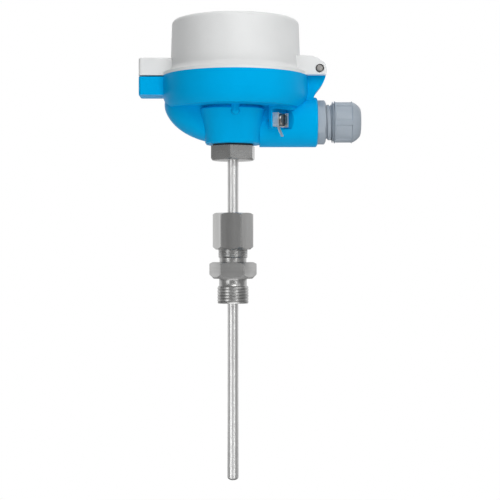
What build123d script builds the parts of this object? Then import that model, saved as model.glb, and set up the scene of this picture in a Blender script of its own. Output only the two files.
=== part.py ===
from build123d import *
import math
import os

os.makedirs("parts", exist_ok=True)

# The stem axis is Z, the cable entry points along +X and the front is -Y.
# Clearances: between pieces that turn or slide, and between pieces of one body.
turning_gap = 0.1
fixed_gap = 0.05
swing_gap = 0.3

# Process fitting, from the middle of its thread upwards.
process_r = 8.33
process_half = 4.6
process_bevel = 0.9
relief_r = 7.8
relief_high = 4.0
body_hex_af = 22.0
body_hex_turn = 28.5
body_hex_high = 8.8
groove_r = 7.6
groove_high = 2.4
upper_thread_r = 7.85
upper_thread_high = 11.7
nut_af = 19.0
nut_turn = 24.0
nut_lift = 4.3
nut_high = 19.5
cone_top_r = 5.6
cone_high = 5.2

# Stem and neck.
stem_r = 3.0
stem_bore_r = 2.0
stem_tip_z = -99.0
stem_end_wall = 3.0
tip_rounding = 3.0
neck_z0 = 71.6
neck_high = 7.6
neck_af = 22.0
neck_turn = -5.9
weld_depth = 5.3
gasket_high = 1.0
gasket_r = 10.8
spigot_r = 9.8
spigot_high = 12.5

# Head body.
head_x = 1.3
rim_r = 38.9
rim_high = 16.8
rim_wall = 4.1
rim_curve_r = 12.0
rim_curve_high = 8.8
rim_edge_r = 0.8
wall = 3.0
floor_thick = 4.3
tower_high = 19.0
tower_low_r = 14.7
tower_top_r = 16.85
tower_lead = 8.0
tower_corner_r = 12.0
tower_recess = 0.8
rib_r = 2.4
rib_x = 1.5
rib_high = 5.6

# Cable entry.
gland_rise = 11.75
boss_r = 13.2
boss_reach = 4.7
boss_rounding = 1.3
gland_thread_r = 9.8
gland_shank = 8.8
gland_bore_r = 6.6
collar_af = 21.6
collar_round_r = 11.75
collar_turn = 25.5
collar_long = 4.4
cap_thread_inset = 1.7
neck_thread_long = 3.5
cap_long = 15.2
cap_r = 11.2
cable_hole_r = 4.5
sleeve_offset = 3.7
sleeve_long = 8.0
dome_long = 5.2
cap_hole_r = 5.2
valley_long = 9.0

# Hinge, latch ear and closing screw.
pin_reach = 5.5
pin_rise = 3.2
pin_r = 1.75
lug_half = 7.0
ear_thick = 5.2
clip_r = 2.2
clip_seat = 0.7
latch_reach = 12.1
latch_half = 9.2
latch_corner_r = 1.6
latch_gap = 0.8
latch_cover_high = 9.3
latch_body_high = 10.3
screw_inset = 6.2
screw_travel = 5.5
screw_thread_r = 2.0
screw_shank_r = 1.55
screw_depth = 5.0
web_rise = 3.5
web_thick = 1.5
screw_head_r = 3.8
screw_head_high = 3.2

# Cover.
cover_high = 29.8
cover_foot_inset = 4.3
cover_draft = 0.8
shoulder_r = 2.4
cover_wall = 2.8
lip_high = 1.6
foot_high = 4.8
groove_inset = 1.5
groove_wide = 2.0
groove_deep = 1.8

# Measuring insert.
plate_r = 21.0
plate_thick = 1.5
post_r = 4.0
post_high = 3.0
post_y = 16.5
bush_r = 4.0
bush_drop = 4.0
sheath_r = 1.5
sheath_wall = 0.35
tip_gap = 0.6
block_r = 19.5
block_high = 9.0
block_hole_r = 5.6
mount_screw_r = 1.9
mount_head_r = 4.0
spring_room = 9.0
spring_r = 3.1
spring_wire_r = 0.4
spring_turns = 5
terminal_x = 12.0
terminal_y = 5.5
terminal_half_x = 3.4
terminal_half_y = 2.9
terminal_sink = 2.5
terminal_rise = 2.6
wire_r = 0.2
wire_offset = 0.5
lead_r = 0.55

# Heights and places worked out from the sizes above.
body_hex_z0 = process_half + relief_high
body_hex_z1 = body_hex_z0 + body_hex_high
upper_thread_z0 = body_hex_z1 + groove_high
upper_thread_z1 = upper_thread_z0 + upper_thread_high
nut_z0 = upper_thread_z0 + nut_lift
nut_z1 = nut_z0 + nut_high
neck_z1 = neck_z0 + neck_high
neck_face_z = neck_z1 + gasket_high
stem_top_z = neck_z0 + weld_depth
spigot_top_z = neck_face_z + spigot_high
rim_z = neck_face_z + tower_high
floor_z = rim_z + floor_thick
seam_z = rim_z + rim_high
gland_z = neck_face_z + gland_rise
tower_top_z = rim_z - tower_recess
boss_end_x = head_x + rim_r + boss_reach
collar_x1 = boss_end_x + collar_long
cap_x0 = collar_x1 + neck_thread_long
cap_x1 = cap_x0 + cap_long
cap_thread_r = cap_r - cap_thread_inset
cavity_r = rim_r - rim_wall
cover_foot_r = rim_r - cover_foot_inset
cover_top_r = cover_foot_r - cover_draft
pin_x = head_x + rim_r + pin_reach
pin_z = seam_z + pin_rise
ear_inner_y = lug_half + swing_gap
ear_outer_y = ear_inner_y + ear_thick
pin_cut = ear_outer_y + 7.5
latch_x = head_x - rim_r - latch_reach
latch_top_z = seam_z + latch_cover_high
latch_low_z = seam_z - latch_body_high
screw_x = latch_x + screw_inset
screw_tip_z = seam_z - screw_depth
web_z0 = seam_z + web_rise
web_z1 = web_z0 + web_thick
cover_top_z = seam_z + cover_high
plate_z0 = floor_z + post_high
plate_z1 = plate_z0 + plate_thick
block_z1 = plate_z1 + block_high
mount_head_z = plate_z1 + spring_room
stem_floor_z = stem_tip_z + stem_end_wall
sheath_tip_z = stem_floor_z + tip_gap
sheath_bore_r = sheath_r - sheath_wall
clamp_top_z = block_z1 + terminal_rise
terminal_spots = [(x, y) for x in (-terminal_x, terminal_x) for y in (-terminal_y, terminal_y)]


def rod(radius, z0, z1, x=0.0, y=0.0):
    return Pos(x, y, (z0 + z1) / 2) * Cylinder(radius, z1 - z0)


def rod_x(radius, x0, x1, z=0.0):
    return Pos((x0 + x1) / 2, 0, z) * Rot(0, 90, 0) * Cylinder(radius, x1 - x0)


def rod_y(radius, y0, y1, x, z):
    return Pos(x, (y0 + y1) / 2, z) * Rot(90, 0, 0) * Cylinder(radius, abs(y1 - y0))


def block(x0, x1, y0, y1, z0, z1):
    middle = Pos((x0 + x1) / 2, (y0 + y1) / 2, (z0 + z1) / 2)
    return middle * Box(abs(x1 - x0), abs(y1 - y0), abs(z1 - z0))


def turned(points, axis=Axis.Z):
    return revolve(make_face(Plane.XZ * Polyline(*points, close=True)), axis, 360)


def hexagon(across_flats, z0, z1, turn, low_bevel, top_bevel):
    corner_r = across_flats / math.sqrt(3)
    prism = Pos(0, 0, z0) * extrude(RegularPolygon(corner_r, 6, rotation=turn - 90), z1 - z0)
    face_r = across_flats / 2 - 0.25
    slope_high = (corner_r - face_r) * math.tan(math.radians(30))
    points = [(0, z0)]
    points += [(face_r, z0), (corner_r, z0 + slope_high)] if low_bevel else [(corner_r, z0)]
    points += [(corner_r, z1 - slope_high), (face_r, z1)] if top_bevel else [(corner_r, z1)]
    points.append((0, z1))
    return prism & turned(points)


def on_head(shape):
    return Pos(head_x, 0, 0) * shape


def write(shape, name):
    export_step(shape, "parts/" + name + ".step")


def write_set(shapes, name):
    write(Compound(children=[shape.solid() for shape in shapes]), name)


# Fitting body: process thread, relief, hexagon and the upper thread with its ferrule seat.
body_bore_r = stem_r + turning_gap + fixed_gap
fitting_body = turned(
    [
        (body_bore_r, -process_half),
        (process_r - process_bevel, -process_half),
        (process_r, -process_half + process_bevel),
        (process_r, process_half),
        (relief_r, process_half + 0.4),
        (relief_r, body_hex_z0 + 0.5),
        (body_bore_r, body_hex_z0 + 0.5),
    ]
)
fitting_body += hexagon(body_hex_af, body_hex_z0, body_hex_z1, body_hex_turn, True, True)
fitting_body += turned(
    [
        (body_bore_r, body_hex_z1 - 0.5),
        (groove_r, body_hex_z1 - 0.5),
        (groove_r, upper_thread_z0),
        (upper_thread_r, upper_thread_z0 + 0.3),
        (upper_thread_r, upper_thread_z1 - 0.6),
        (upper_thread_r - 0.6, upper_thread_z1),
        (cone_top_r, upper_thread_z1),
        (body_bore_r, upper_thread_z1 - cone_high),
    ]
)
fitting_body -= rod(body_bore_r, -process_half - 1, upper_thread_z1 + 1)
write(fitting_body, "fitting_body")

# Ferrule: a plastic double cone squeezed between the body and the nut.
ferrule_r = cone_top_r - turning_gap
ferrule_top_z = upper_thread_z1 + 4.4
ferrule = turned(
    [
        (stem_r + fixed_gap, upper_thread_z1 - cone_high + 0.6),
        (body_bore_r + 0.15, upper_thread_z1 - cone_high + 0.6),
        (ferrule_r, upper_thread_z1 + fixed_gap),
        (ferrule_r, ferrule_top_z - 2.0),
        (stem_r + 0.55, ferrule_top_z),
        (stem_r + fixed_gap, ferrule_top_z),
    ]
)
write(ferrule, "fitting_ferrule")

# Compression nut with an inner cone above the ferrule.
nut_bore_r = upper_thread_r + turning_gap
nut_hole_r = stem_r + 2 * turning_gap + fixed_gap
fitting_nut = hexagon(nut_af, nut_z0, nut_z1, nut_turn, True, True)
fitting_nut -= turned(
    [
        (0, nut_z0 - 1),
        (nut_bore_r + 1.0, nut_z0 - 1),
        (nut_bore_r, nut_z0 + 0.8),
        (nut_bore_r, ferrule_top_z - 2.8),
        (cone_top_r + turning_gap, ferrule_top_z - 1.9),
        (nut_hole_r, ferrule_top_z + 0.6),
        (nut_hole_r, nut_z1 + 1),
        (0, nut_z1 + 1),
    ]
)
write(fitting_nut, "fitting_nut")

# Stem tube with a rounded closed end.
tip_curve = ThreePointArc(
    (0, stem_tip_z), (0.707 * stem_r, stem_tip_z + 0.293 * tip_rounding), (stem_r, stem_tip_z + tip_rounding)
)
stem_line = Polyline(
    (stem_r, stem_tip_z + tip_rounding),
    (stem_r, stem_top_z),
    (stem_bore_r, stem_top_z),
    (stem_bore_r, stem_floor_z),
    (0, stem_floor_z),
    (0, stem_tip_z),
)
stem_tube = revolve(make_face(Plane.XZ * (tip_curve + stem_line)), Axis.Z, 360)
write(stem_tube, "stem_tube")

# Neck adapter: hexagon, threaded spigot and the socket that the stem is welded into.
neck_adapter = hexagon(neck_af, neck_z0, neck_z1, neck_turn, True, False)
neck_adapter += turned(
    [
        (0, neck_z1 - 0.5),
        (spigot_r, neck_z1 - 0.5),
        (spigot_r, spigot_top_z - 0.8),
        (spigot_r - 0.8, spigot_top_z),
        (0, spigot_top_z),
    ]
)
neck_adapter -= rod(stem_r, neck_z0 - 1, stem_top_z)
neck_adapter -= rod(stem_bore_r, stem_top_z - 1, spigot_top_z + 1)
funnel_z = spigot_top_z - 3.0
funnel_r = spigot_r - 3.3
funnel_top_z = spigot_top_z + 0.1
neck_adapter -= turned([(0, funnel_z), (stem_bore_r, funnel_z), (funnel_r, funnel_top_z), (0, funnel_top_z)])
write(neck_adapter, "neck_adapter")

# Flat seal between the neck hexagon and the tower.
neck_gasket = rod(gasket_r, neck_z1, neck_face_z) - rod(spigot_r + turning_gap, neck_z1 - 1, neck_face_z + 1)
write(neck_gasket, "neck_gasket")

# Head body, outer shapes. The bowl rim stands over a narrower keel that tapers to the tower.
curve_turn = math.asin(rim_curve_high / rim_curve_r)
rim_foot_r = rim_r - rim_curve_r * (1 - math.cos(curve_turn))
rim_middle_r = rim_r - rim_curve_r * (1 - math.cos(curve_turn / 2))
rim_middle_z = rim_z + rim_curve_high - rim_curve_r * math.sin(curve_turn / 2)
rim_curve_z = rim_z + rim_curve_high
rim_curve = ThreePointArc((rim_foot_r, rim_z), (rim_middle_r, rim_middle_z), (rim_r, rim_curve_z))
rim_rest = Polyline((rim_r, rim_curve_z), (rim_r, seam_z), (0, seam_z), (0, rim_z), (rim_foot_r, rim_z))
rim = revolve(make_face(Plane.XZ * (rim_curve + rim_rest)), Axis.Z, 360)
rim = fillet(rim.edges().group_by(Axis.Z)[0], rim_edge_r)
keel_inset = 2.5
keel_half = rim_r - keel_inset
keel_deep = 14.0
keel_shape = [
    (-3.3, 1.0, 1.0),
    (3.2, 0.967, 0.98),
    (8.2, 0.87, 0.915),
    (12.4, 0.73, 0.8),
    (15.8, 0.542, 0.615),
    (tower_high - 1.2, 0.369, 0.415),
]


def keel_slice(drop, long_share, deep_share, inset):
    half_long = keel_half * long_share - inset
    half_deep = keel_deep * deep_share - inset
    return Pos(0, 0, rim_z - drop) * SlotOverall(2 * half_long, 2 * half_deep)


keel = loft([keel_slice(*step, 0) for step in keel_shape])
keel_hollow_shape = [(-4.6, 1.0, 1.0)] + keel_shape[1:3] + [(11.8, 0.752, 0.82), (14.4, 0.62, 0.69)]
keel_hollow = loft([keel_slice(*step, wall) for step in keel_hollow_shape])


def tower_slice(z, half_wide, lead):
    return Pos(0, 0, z) * RectangleRounded(2 * half_wide, 2 * (half_wide + lead), tower_corner_r)


tower_steps = [
    (neck_face_z, tower_low_r - 0.6, 0.3),
    (neck_face_z + 0.6, tower_low_r, 0.4),
    (tower_top_z - 1.0, tower_top_r, tower_lead),
    (tower_top_z, tower_top_r - 0.8, tower_lead),
]
tower = tower_slice(rim_z + 1, tower_top_r - 1.6, tower_lead)
tower = extrude(tower, -tower_recess - 2)
for low_step, top_step in zip(tower_steps, tower_steps[1:]):
    tower += loft([tower_slice(*low_step), tower_slice(*top_step)], ruled=True)
rib_y = -tower_lead - tower_top_r + 0.65 * rib_r
rib = rod(rib_r, rim_z - rib_high + rib_r, rim_z + 1, rib_x, rib_y)
rib += Pos(rib_x, rib_y, rim_z - rib_high + rib_r) * Sphere(rib_r)
boss = rod_x(boss_r, tower_low_r - 0.6, boss_end_x, gland_z)
boss = fillet(boss.edges().group_by(Axis.X)[-1], boss_rounding)
rim_latch = block(latch_x, head_x - cavity_r - 1.1, -latch_half, latch_half, latch_low_z, seam_z - latch_gap)
rim_latch = fillet(rim_latch.edges().filter_by(Axis.Z).group_by(Axis.X)[0], latch_corner_r)
gusset_root_x = head_x + cavity_r + 0.9
gusset_low_z = gland_z + boss_r - 1.2
gusset_curve = Spline(
    (boss_end_x - 2.1, gusset_low_z),
    (boss_end_x - 1.1, gusset_low_z + 0.25 * (seam_z - gusset_low_z)),
    (pin_x + 0.2, gusset_low_z + 0.48 * (seam_z - gusset_low_z)),
    (pin_x + 3.0, seam_z - 1.6),
    (pin_x + 3.4, seam_z),
)
gusset_rest = Polyline(
    (pin_x + 3.4, seam_z),
    (gusset_root_x, seam_z),
    (gusset_root_x, gusset_low_z - 2),
    (boss_end_x - 2.1, gusset_low_z - 2),
    (boss_end_x - 2.1, gusset_low_z),
)
gusset = extrude(make_face(Plane.XZ * (gusset_curve + gusset_rest)), lug_half, both=True)
lug_r = pin_r + 1.9
lug = rod_y(lug_r, -lug_half, lug_half, pin_x, pin_z)
lug += block(pin_x - lug_r, pin_x + lug_r - 0.5, -lug_half, lug_half, seam_z - 1, pin_z)

# Earth terminal block beside the tower. Its pad faces half way between the front and the gland.
pad_turn = math.radians(50.0)
pad_normal = Vector(math.sin(pad_turn), -math.cos(pad_turn), 0)
pad_along = Vector(math.cos(pad_turn), math.sin(pad_turn), 0)
pad_centre = Vector(23.7, -boss_r - 1.6, gland_z - 0.25)
pad_plane = Plane(origin=pad_centre, x_dir=pad_along, z_dir=pad_normal)
pad_corner = pad_centre - pad_along * 5.0
pad_far = pad_centre + pad_along * 12.0
pad_top_z = gland_z + 5.25
pad_low_z = gland_z - 4.45
pad_left_x = tower_top_r + 2.0
pocket_low_z = gland_z - 4.75
pad_outline = Polyline(
    (pad_left_x, -2.0),
    (pad_left_x, pad_corner.Y + 1.6),
    (pad_corner.X - 0.4, pad_corner.Y),
    (pad_corner.X, pad_corner.Y + 0.1),
    (pad_far.X, pad_far.Y),
    (pad_far.X, -2.0),
    close=True,
)
pad_block = Pos(0, 0, pad_low_z) * extrude(make_face(pad_outline), pad_top_z - pad_low_z)
slope_line = Polyline(
    (-boss_r - 9, pad_low_z - 9),
    (-boss_r - 9, pad_low_z + 4),
    (-boss_r + 0.8, pad_low_z + 0.5),
    (-boss_r + 0.8, pad_low_z - 9),
    close=True,
)
pad_block -= Pos(pad_left_x - 3, 0, 0) * extrude(make_face(Plane.YZ * slope_line), 22)
lintel_outline = Polyline(
    (pad_left_x, -2.0),
    (pad_left_x, -boss_r - 4.2),
    (pad_left_x + 1.7, -boss_r - 5.7),
    (pad_left_x + 12.6, -boss_r - 0.8),
    (pad_left_x + 15.3, -boss_r + 2.7),
    (pad_left_x + 15.3, -2.0),
    close=True,
)
lintel = Pos(0, 0, pad_top_z) * extrude(make_face(lintel_outline), rim_z + 1.2 - pad_top_z)
pocket_high = pad_top_z - pocket_low_z
pocket = Pos(0.8, (pad_top_z + pocket_low_z) / 2 - pad_centre.Z, 7.0) * Box(11.6, pocket_high, 14.0)

# Head body, inner shapes and holes.
neck_core = rod(tower_low_r - 1.1, neck_face_z, spigot_top_z + 1.4)
earth_turn = math.radians(46.0)
earth_reach = (plate_r + cavity_r) / 2
earth_x = head_x - earth_reach * math.cos(earth_turn)
earth_y = -earth_reach * math.sin(earth_turn)
earth_post = rod(post_r - 0.4, floor_z - 1, floor_z + post_high, earth_x, earth_y)
screw_hole_r = screw_thread_r + 0.55
mount_hole_r = mount_screw_r + fixed_gap
head_body = on_head(rim) + keel + tower + rib + boss
head_body += rim_latch
head_body += gusset
head_body += lug
head_body += pad_block
head_body += lintel
head_body -= on_head(rod(cavity_r, floor_z, seam_z + 1))
head_body -= keel_hollow - neck_core
for way in (-1, 1):
    head_body += rod(post_r, floor_z - 1, plate_z0, 0, way * post_y)
    head_body -= rod(mount_hole_r, plate_z0 - 5.2, plate_z0 + 1, 0, way * post_y)
head_body += earth_post
head_body -= rod(mount_hole_r, floor_z - 2.2, floor_z + post_high + 1, earth_x, earth_y)
head_body -= rod(spigot_r + fixed_gap, neck_face_z - 1, spigot_top_z + 1.8)
head_body -= rod_x(boss_r - 4.8, tower_low_r - 2.7, boss_end_x - 2, gland_z)
head_body -= rod_x(gland_thread_r + fixed_gap, boss_end_x - gland_shank - 1, boss_end_x + 1, gland_z)
head_body -= rod_y(pin_r, -lug_half - 1, lug_half + 1, pin_x, pin_z)
head_body -= rod(screw_hole_r, screw_tip_z - 0.8, seam_z + 1, screw_x, 0)
head_body -= pad_plane * pocket
ground_screw_r = 2.0
ground_screw_deep = 6.0
head_body -= pad_plane * Pos(0, 0, -3.2) * Cylinder(ground_screw_r + fixed_gap, ground_screw_deep + 1)
write(head_body, "head_body")

# Hinge pin with a retaining ring at each end.
hinge_pin = rod_y(pin_r, -ear_outer_y - 0.3, ear_outer_y + 0.3, pin_x, pin_z)
hinge_pin = chamfer(hinge_pin.edges().group_by(Axis.Y)[0], 0.25)
hinge_pin = chamfer(hinge_pin.edges().group_by(Axis.Y)[-1], 0.25)
write(hinge_pin, "hinge_pin")
clips = []
for way in (-1, 1):
    ring_in_y = way * (ear_outer_y - clip_seat + turning_gap)
    ring = rod_y(clip_r, ring_in_y, way * (ear_outer_y - fixed_gap), pin_x, pin_z)
    ring -= rod_y(pin_r, -pin_cut, pin_cut, pin_x, pin_z)
    ring -= block(pin_x, pin_x + 4, -pin_cut, pin_cut, pin_z - 3.2, pin_z - 1.0)
    clips.append(ring)
write_set(clips, "hinge_clips")

# Outer earth terminal: bent clamp, spring washer and slotted screw.
clamp_wide = 8.8
clamp_high = 7.2
sheet = 0.9
clamp_deep = 3.5
washer_high = 0.8
head_low = sheet + washer_high
head_high = 2.4
clamp = Pos(0, 0, sheet / 2) * Box(clamp_wide, clamp_high, sheet)
for way in (-1, 1):
    side = Pos(way * (clamp_wide - sheet) / 2, 0, clamp_deep / 2)
    clamp += side * Box(sheet, clamp_high, clamp_deep)
tail_y = -clamp_high / 2
tail_line = Polyline((0, tail_y + 0.4, sheet / 2), (0, tail_y - 0.8, 0.6), (0, tail_y - 5.0, 3.0))
tail_plane = Plane(origin=tail_line @ 0, x_dir=(1, 0, 0), z_dir=(0, -1, 0))
clamp += sweep(tail_plane * Rectangle(1.3, 0.8), tail_line, transition=Transition.RIGHT)
clamp -= Pos(0, 0, sheet / 2) * Cylinder(ground_screw_r + turning_gap, sheet + 1)
write(pad_plane * clamp, "ground_clamp")
ground_washer = Pos(0, 0, sheet + washer_high / 2) * Cylinder(3.2, washer_high)
ground_washer -= Pos(0, 0, sheet) * Cylinder(ground_screw_r + turning_gap, 4)
write(pad_plane * ground_washer, "ground_washer")
ground_screw = Pos(0, 0, head_low + head_high / 2) * Cylinder(3.25, head_high)
ground_screw = chamfer(ground_screw.edges().group_by(Axis.Z)[-1], 0.5)
shank_high = head_low + ground_screw_deep
ground_screw += Pos(0, 0, head_low - shank_high / 2) * Cylinder(ground_screw_r, shank_high)
ground_screw -= Pos(0, 0, head_low + head_high) * Box(0.9, 7.5, 2.4)
write(pad_plane * ground_screw, "ground_screw")

# Cable gland: body with a hexagonal collar, a thread for the cap and a seat for the rubber sleeve.
shank_x0 = boss_end_x - gland_shank
seal_x0 = collar_x1 + sleeve_offset
sleeve_end_x = seal_x0 + sleeve_long
seat_r = cap_thread_r - 1.2
gland_body = turned(
    [
        (shank_x0, gland_bore_r),
        (shank_x0, gland_thread_r - 0.8),
        (shank_x0 + 0.8, gland_thread_r),
        (boss_end_x + 0.5, gland_thread_r),
        (boss_end_x + 0.5, gland_bore_r),
    ],
    Axis.X,
)
collar = hexagon(collar_af, boss_end_x, collar_x1, collar_turn, False, True)
gland_body += Rot(0, 90, 0) * (collar & rod(collar_round_r, boss_end_x, collar_x1))
gland_body += turned(
    [
        (collar_x1 - 0.5, gland_bore_r),
        (collar_x1 - 0.5, cap_thread_r),
        (sleeve_end_x, cap_thread_r),
        (sleeve_end_x, seat_r),
        (seal_x0, seat_r),
        (seal_x0, gland_bore_r),
    ],
    Axis.X,
)
gland_body -= rod_x(gland_bore_r, shank_x0 - 1, seal_x0 + 1)
gland_body -= rod_x(seat_r, seal_x0, sleeve_end_x + 1)
write(Pos(0, 0, gland_z) * gland_body, "gland_body")

# Rubber sleeve that closes on the cable.
gland_seal = turned(
    [
        (seal_x0 + fixed_gap, cable_hole_r),
        (seal_x0 + fixed_gap, seat_r - fixed_gap),
        (sleeve_end_x, seat_r - fixed_gap),
        (sleeve_end_x + 1.4, seat_r - 1.2),
        (sleeve_end_x + 1.4, cable_hole_r),
    ],
    Axis.X,
)
write(Pos(0, 0, gland_z) * gland_seal, "gland_seal")

# Gland cap: ribbed nut with a domed end.
cap_bore_r = cap_thread_r + turning_gap + fixed_gap
dome_x0 = cap_x1 - dome_long
dome_low_r = cap_r - 0.45
dome_r = cap_hole_r + 1.2
dome_points = [(dome_x0, dome_low_r), (cap_x1 - 2.9, cap_r - 1.4), (cap_x1 - 1.2, cap_r - 2.7), (cap_x1, dome_r)]
cap_curve = Spline(*dome_points)
cap_line = Polyline(
    (cap_x1, dome_r),
    (cap_x1, cap_hole_r),
    (cap_x1 - 1.5, cap_hole_r),
    (sleeve_end_x + 3.4, gland_bore_r),
    (sleeve_end_x + 0.4, cap_bore_r),
    (cap_x0 + 0.9, cap_bore_r),
    (cap_x0, cap_bore_r + 0.75),
    (cap_x0, cap_r - 0.45),
    (cap_x0 + 0.45, cap_r),
    (dome_x0 - 0.3, cap_r),
    (dome_x0, dome_low_r),
)
gland_cap = revolve(make_face(Plane.XZ * (cap_curve + cap_line)), Axis.X, 360)
cap_valleys = 6
valley_deep = 0.45
for index in range(cap_valleys):
    valley = Pos(cap_x0 + 1.4 + valley_long / 2, 0, cap_r - valley_deep + 10) * Box(valley_long, 7.4, 20.0)
    gland_cap -= Rot(index * 360 / cap_valleys, 0, 0) * valley
write(Pos(0, 0, gland_z) * gland_cap, "gland_cap")

# Cover: drafted cap with a flared foot, a seal groove and the hinge and closing ears.
inner_foot_r = cover_foot_r - cover_wall
inner_top_r = cover_top_r - cover_wall
groove_in_r = cavity_r + groove_inset - 0.9
groove_out_r = groove_in_r + groove_wide
lip_r = rim_r - 0.5
foot_curve = ThreePointArc(
    (lip_r, seam_z + lip_high + 0.4),
    (cover_foot_r + 1.2, seam_z + 0.6 * foot_high),
    (cover_foot_r, seam_z + foot_high),
)
shoulder_inset = shoulder_r * (1 - math.cos(math.radians(45)))
shoulder = ThreePointArc(
    (cover_top_r, cover_top_z - shoulder_r),
    (cover_top_r - shoulder_inset, cover_top_z - shoulder_inset),
    (cover_top_r - shoulder_r, cover_top_z),
)
cover_line = Polyline(
    (cover_top_r - shoulder_r, cover_top_z),
    (0, cover_top_z),
    (0, cover_top_z - cover_wall),
    (inner_top_r - 1.5, cover_top_z - cover_wall),
    (inner_top_r, cover_top_z - cover_wall - 1.5),
    (inner_foot_r, seam_z),
    (rim_r, seam_z),
    (rim_r, seam_z + lip_high),
    (lip_r, seam_z + lip_high + 0.4),
)
cover_side = Line((cover_foot_r, seam_z + foot_high), (cover_top_r, cover_top_z - shoulder_r))
cover_profile = cover_line + foot_curve + cover_side + shoulder
head_cover = on_head(revolve(make_face(Plane.XZ * cover_profile), Axis.Z, 360))
latch = block(latch_x, head_x - inner_foot_r - 0.9, -latch_half, latch_half, seam_z, latch_top_z)
latch = fillet(latch.edges().filter_by(Axis.Z).group_by(Axis.X)[0], latch_corner_r)
latch = chamfer(latch.edges().group_by(Axis.Z)[-1], 0.7)
head_cover += latch
ear_root_x = head_x + inner_foot_r - 0.1
ear_high = 10.1
ear_curve = Spline(
    (pin_x + 3.4, seam_z),
    (pin_x + 3.7, pin_z - 0.8),
    (pin_x + 2.9, pin_z + 2.4),
    (pin_x + 1.0, pin_z + 4.2),
    (pin_x - 2.2, pin_z + 5.9),
    (pin_x - 6.0, seam_z + ear_high - 0.2),
    (ear_root_x, seam_z + ear_high),
)
ear_rest = Polyline((ear_root_x, seam_z + ear_high), (ear_root_x, seam_z), (pin_x + 3.4, seam_z))
ear = extrude(make_face(Plane.XZ * (ear_curve + ear_rest)), ear_thick / 2, both=True)
for way in (-1, 1):
    head_cover += Pos(0, way * (ear_outer_y + ear_inner_y) / 2, 0) * ear
groove_top_z = seam_z + groove_deep
head_cover -= on_head(rod(groove_out_r, seam_z - 1, groove_top_z) - rod(groove_in_r, seam_z - 2, groove_top_z + 1))
head_cover -= rod_y(pin_r + turning_gap, -pin_cut, pin_cut, pin_x, pin_z)
for way in (-1, 1):
    head_cover -= rod_y(clip_r + turning_gap, way * (ear_outer_y - clip_seat), way * pin_cut, pin_x, pin_z)
head_cover -= rod(screw_thread_r + swing_gap, seam_z - 1, web_z0, screw_x, 0)
head_cover -= rod(screw_shank_r + turning_gap, seam_z, latch_top_z + 1, screw_x, 0)
head_cover -= rod(screw_head_r + swing_gap, web_z1, latch_top_z + 1, screw_x, 0)
write(head_cover, "head_cover")

# Cover seal in its groove.
cover_gasket = rod(groove_out_r - fixed_gap, seam_z, seam_z + groove_deep)
cover_gasket -= rod(groove_in_r + fixed_gap, seam_z - 1, seam_z + 3)
write(on_head(cover_gasket), "cover_gasket")

# Captive closing screw: its waist lets it rise in the cover ear until the thread is free.
cover_screw = rod(screw_head_r, web_z1, web_z1 + screw_head_high, screw_x, 0)
cover_screw = chamfer(cover_screw.edges().group_by(Axis.Z)[-1], 0.5)
slot_z = web_z1 + screw_head_high - 1.5
cover_screw -= block(screw_x - 5, screw_x + 5, -0.6, 0.6, slot_z, slot_z + 3)
cover_screw += rod(screw_shank_r, screw_tip_z + 2, web_z1 + 0.5, screw_x, 0)
cover_screw += rod(screw_thread_r, screw_tip_z, web_z0 - screw_travel, screw_x, 0)
write(cover_screw, "cover_screw")

# Insert plate and the bush that carries the sheath.
insert_plate = rod(plate_r, plate_z0, plate_z1) - rod(bush_r, plate_z0 - 1, plate_z1 + 1)
for way in (-1, 1):
    insert_plate -= rod(mount_screw_r + swing_gap, plate_z0 - 1, plate_z1 + 1, 0, way * post_y)
write(insert_plate, "insert_plate")
bush_z0 = plate_z0 - bush_drop
insert_bush = rod(bush_r, bush_z0, plate_z1) - rod(sheath_r, bush_z0 - 1, plate_z1 + 1)
write(insert_bush, "insert_bush")

# Mineral insulated sheath with its filling, four conductors, resin plug and sensing element.
sheath_floor_z = sheath_tip_z + 0.8
sensor_r = sheath_bore_r - 0.3
sensor_z0 = sheath_floor_z + 0.8
sensor_z1 = sensor_z0 + 15.2
plug_z0 = plate_z1 - 6.0
insert_sheath = turned(
    [
        (0, sheath_tip_z),
        (sheath_r - 0.6, sheath_tip_z),
        (sheath_r, sheath_tip_z + 0.6),
        (sheath_r, plate_z1),
        (sheath_bore_r, plate_z1),
        (sheath_bore_r, sheath_floor_z),
        (0, sheath_floor_z),
    ]
)
write(insert_sheath, "insert_sheath")
write(rod(sensor_r, sensor_z0, sensor_z1), "sensing_element")
wire_spots = [(x, y) for x in (-wire_offset, wire_offset) for y in (-wire_offset, wire_offset)]
mgo_fill = rod(sheath_bore_r, sheath_floor_z, plug_z0) - rod(sensor_r, sensor_z0, sensor_z1)
sheath_seal = rod(sheath_bore_r, plug_z0, plate_z1)
for x, y in wire_spots:
    mgo_fill -= rod(wire_r, sensor_z1 - 0.1, plug_z0 + 1, x, y)
    sheath_seal -= rod(wire_r, plug_z0 - 1, plate_z1 + 1, x, y)
write(mgo_fill, "mgo_fill")
write(sheath_seal, "sheath_seal")
lead_z0 = plate_z1 + 0.7
write_set([rod(wire_r, sensor_z1, lead_z0, x, y) for x, y in wire_spots], "conductors")

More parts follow.
